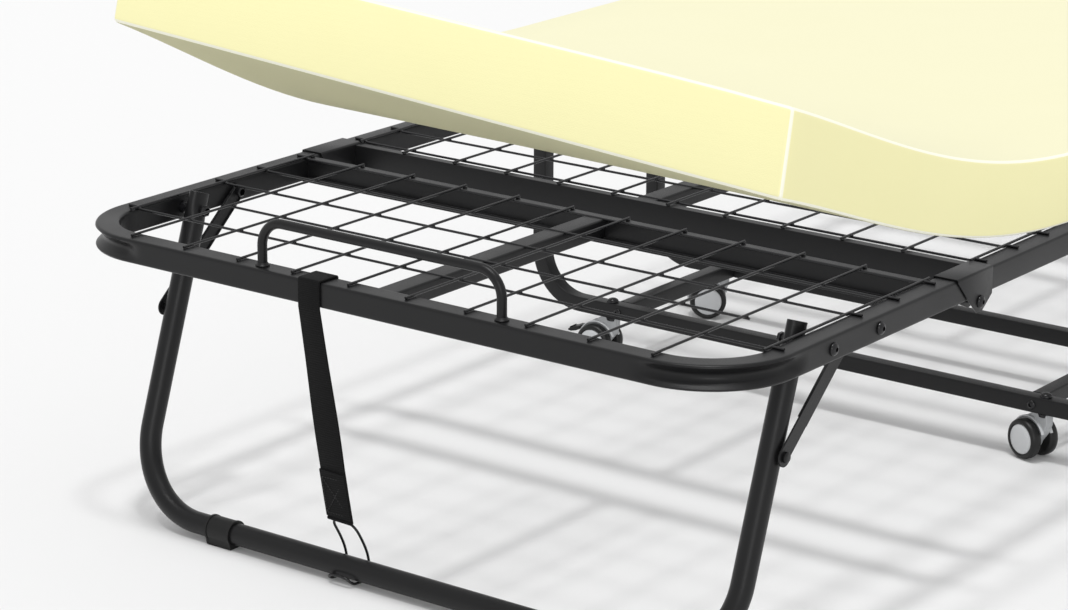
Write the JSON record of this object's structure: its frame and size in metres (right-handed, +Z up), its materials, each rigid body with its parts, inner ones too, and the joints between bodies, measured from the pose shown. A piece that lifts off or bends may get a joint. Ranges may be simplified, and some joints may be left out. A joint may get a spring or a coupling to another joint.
{
  "type": "folding rollaway guest bed",
  "caption": "Low folding guest bed on a wheeled base: wire-mesh deck in hinged sections, U-legs with hook struts and a foam mattress whose foot end is lifted.",
  "frame": {"origin": "on the floor under the middle of the bed", "axes": "+Z up, +X from the foot end with the lifted mattress towards the head end, +Y across the bed to its left as seen lying with the head at +X"},
  "size_m": [2.0025, 0.9152, 0.6544],
  "materials": {
    "powder_black": "black powder coat on steel tube, satin",
    "wire_black": "black coated steel wire, satin",
    "bolt_black": "blackened steel fasteners and wire",
    "glide_black": "moulded black plastic",
    "webbing": "woven black webbing",
    "caster_grey": "grey moulded plastic, slight gloss",
    "tyre": "black rubber",
    "foam": "cream foam slab with a knitted skin, matte"
  },
  "bodies": {
    "base": {"base_frame_foot": "powder_black", "base_frame_head": "powder_black", "base_link_near": "powder_black", "base_link_far": "powder_black", "centre_frame": "powder_black", "centre_mesh": "wire_black", "foot_fold_bolt_near": "bolt_black", "foot_fold_bolt_far": "bolt_black", "head_fold_bolt_near": "bolt_black", "head_fold_bolt_far": "bolt_black", "mattress_middle": "foam"},
    "foot_half": {"foot_inner_frame": "powder_black", "foot_inner_mesh": "wire_black", "foot_hinge_bolt_near": "bolt_black", "foot_hinge_bolt_far": "bolt_black"},
    "foot_end": {"foot_end_frame": "powder_black", "foot_end_mesh": "wire_black", "foot_mattress_stop": "powder_black", "foot_leg_bolt_near": "bolt_black", "foot_leg_bolt_far": "bolt_black", "foot_strut_bolt_near": "bolt_black", "foot_strut_bolt_far": "bolt_black", "strap": "webbing", "strap_hook": "bolt_black"},
    "foot_leg": {"foot_leg": "powder_black", "foot_glide_near": "glide_black", "foot_glide_far": "glide_black"},
    "foot_strut_near": {"foot_strut_near": "powder_black"},
    "foot_strut_far": {"foot_strut_far": "powder_black"},
    "head_half": {"head_inner_frame": "powder_black", "head_inner_mesh": "wire_black", "head_hinge_bolt_near": "bolt_black", "head_hinge_bolt_far": "bolt_black", "mattress_head": "foam"},
    "head_end": {"head_end_frame": "powder_black", "head_end_mesh": "wire_black", "head_mattress_stop": "powder_black", "head_leg_bolt_near": "bolt_black", "head_leg_bolt_far": "bolt_black", "head_strut_bolt_near": "bolt_black", "head_strut_bolt_far": "bolt_black"},
    "head_leg": {"head_leg": "powder_black", "head_glide_near": "glide_black", "head_glide_far": "glide_black"},
    "head_strut_near": {"head_strut_near": "powder_black"},
    "head_strut_far": {"head_strut_far": "powder_black"},
    "mattress_lift": {"mattress_foot": "foam"},
    "caster_foot_near": {"caster_fork_foot_near": "caster_grey"},
    "wheels_foot_near": {"caster_wheels_foot_near": "tyre"},
    "caster_foot_far": {"caster_fork_foot_far": "caster_grey"},
    "wheels_foot_far": {"caster_wheels_foot_far": "tyre"},
    "brake_foot_far": {"brake_lever_foot_far": "glide_black"},
    "caster_head_near": {"caster_fork_head_near": "caster_grey"},
    "wheels_head_near": {"caster_wheels_head_near": "tyre"},
    "brake_head_near": {"brake_lever_head_near": "glide_black"},
    "caster_head_far": {"caster_fork_head_far": "caster_grey"},
    "wheels_head_far": {"caster_wheels_head_far": "tyre"}
  },
  "joints": [
    {"name": "foot_fold", "type": "hinge", "parent": "base", "child": "foot_half", "pos_m": [-0.1286, 0, 0.341], "axis": [0, 1, 0], "range_deg": [0, 90], "deforming": ["mattress_middle", "mattress_foot"]},
    {"name": "foot_end_fold", "type": "hinge", "parent": "foot_half", "child": "foot_end", "pos_m": [-0.5393, 0, 0.322], "axis": [0, -1, 0], "range_deg": [0, 90]},
    {"name": "foot_leg_fold", "type": "hinge", "parent": "foot_end", "child": "foot_leg", "pos_m": [-0.8269, 0, 0.341], "axis": [0, 1, 0], "range_deg": [-96, 0], "deforming": ["strap", "strap_hook"]},
    {"name": "foot_strut_near_swing", "type": "hinge", "parent": "foot_end", "child": "foot_strut_near", "pos_m": [-0.7384, -0.4191, 0.341], "axis": [0, 1, 0], "range_deg": [0, 28]},
    {"name": "foot_strut_far_swing", "type": "hinge", "parent": "foot_end", "child": "foot_strut_far", "pos_m": [-0.7384, 0.4191, 0.341], "axis": [0, 1, 0], "range_deg": [0, 28]},
    {"name": "head_fold", "type": "hinge", "parent": "base", "child": "head_half", "pos_m": [0.1286, 0, 0.341], "axis": [0, -1, 0], "range_deg": [0, 90], "deforming": ["mattress_middle"]},
    {"name": "head_end_fold", "type": "hinge", "parent": "head_half", "child": "head_end", "pos_m": [0.5393, 0, 0.322], "axis": [0, 1, 0], "range_deg": [0, 90]},
    {"name": "head_leg_fold", "type": "hinge", "parent": "head_end", "child": "head_leg", "pos_m": [0.8269, 0, 0.341], "axis": [0, -1, 0], "range_deg": [-96, 0]},
    {"name": "head_strut_near_swing", "type": "hinge", "parent": "head_end", "child": "head_strut_near", "pos_m": [0.7384, -0.4191, 0.341], "axis": [0, -1, 0], "range_deg": [0, 28]},
    {"name": "head_strut_far_swing", "type": "hinge", "parent": "head_end", "child": "head_strut_far", "pos_m": [0.7384, 0.4191, 0.341], "axis": [0, -1, 0], "range_deg": [0, 28]},
    {"name": "mattress_lift", "type": "hinge", "parent": "foot_half", "child": "mattress_lift", "pos_m": [-0.18, 0, 0.3591], "axis": [0, -1, 0], "range_deg": [0, 14.2], "deforming": ["mattress_foot"]},
    {"name": "swivel_foot_near", "type": "hinge", "parent": "base", "child": "caster_foot_near", "pos_m": [-0.1286, -0.3192, 0.06], "axis": [0, 0, 1], "continuous": true},
    {"name": "wheel_foot_near", "type": "hinge", "parent": "caster_foot_near", "child": "wheels_foot_near", "pos_m": [-0.12176, -0.30041, 0.025], "axis": [-0.9397, 0.342, 0], "continuous": true},
    {"name": "swivel_foot_far", "type": "hinge", "parent": "base", "child": "caster_foot_far", "pos_m": [-0.1286, 0.3192, 0.06], "axis": [0, 0, 1], "continuous": true},
    {"name": "wheel_foot_far", "type": "hinge", "parent": "caster_foot_far", "child": "wheels_foot_far", "pos_m": [-0.1293, 0.33919, 0.025], "axis": [-0.9994, -0.0349, 0], "continuous": true},
    {"name": "brake_foot_far", "type": "hinge", "parent": "caster_foot_far", "child": "brake_foot_far", "pos_m": [-0.13036, 0.36967, 0.0385], "axis": [-0.9994, -0.0349, 0], "range_deg": [0, 18]},
    {"name": "swivel_head_near", "type": "hinge", "parent": "base", "child": "caster_head_near", "pos_m": [0.1286, -0.3192, 0.06], "axis": [0, 0, 1], "continuous": true},
    {"name": "wheel_head_near", "type": "hinge", "parent": "caster_head_near", "child": "wheels_head_near", "pos_m": [0.13207, -0.2995, 0.025], "axis": [-0.9848, 0.1736, 0], "continuous": true},
    {"name": "brake_head_near", "type": "hinge", "parent": "caster_head_near", "child": "brake_head_near", "pos_m": [0.13737, -0.26947, 0.0385], "axis": [-0.9848, 0.1736, 0], "range_deg": [0, 18]},
    {"name": "swivel_head_far", "type": "hinge", "parent": "base", "child": "caster_head_far", "pos_m": [0.1286, 0.3192, 0.06], "axis": [0, 0, 1], "continuous": true},
    {"name": "wheel_head_far", "type": "hinge", "parent": "caster_head_far", "child": "wheels_head_far", "pos_m": [0.11684, 0.33538, 0.025], "axis": [-0.809, -0.5878, 0], "continuous": true}
  ],
  "couplings": [
    {"joint": "mattress_lift", "follows": "foot_fold", "ratio": 0.1577}
  ]
}
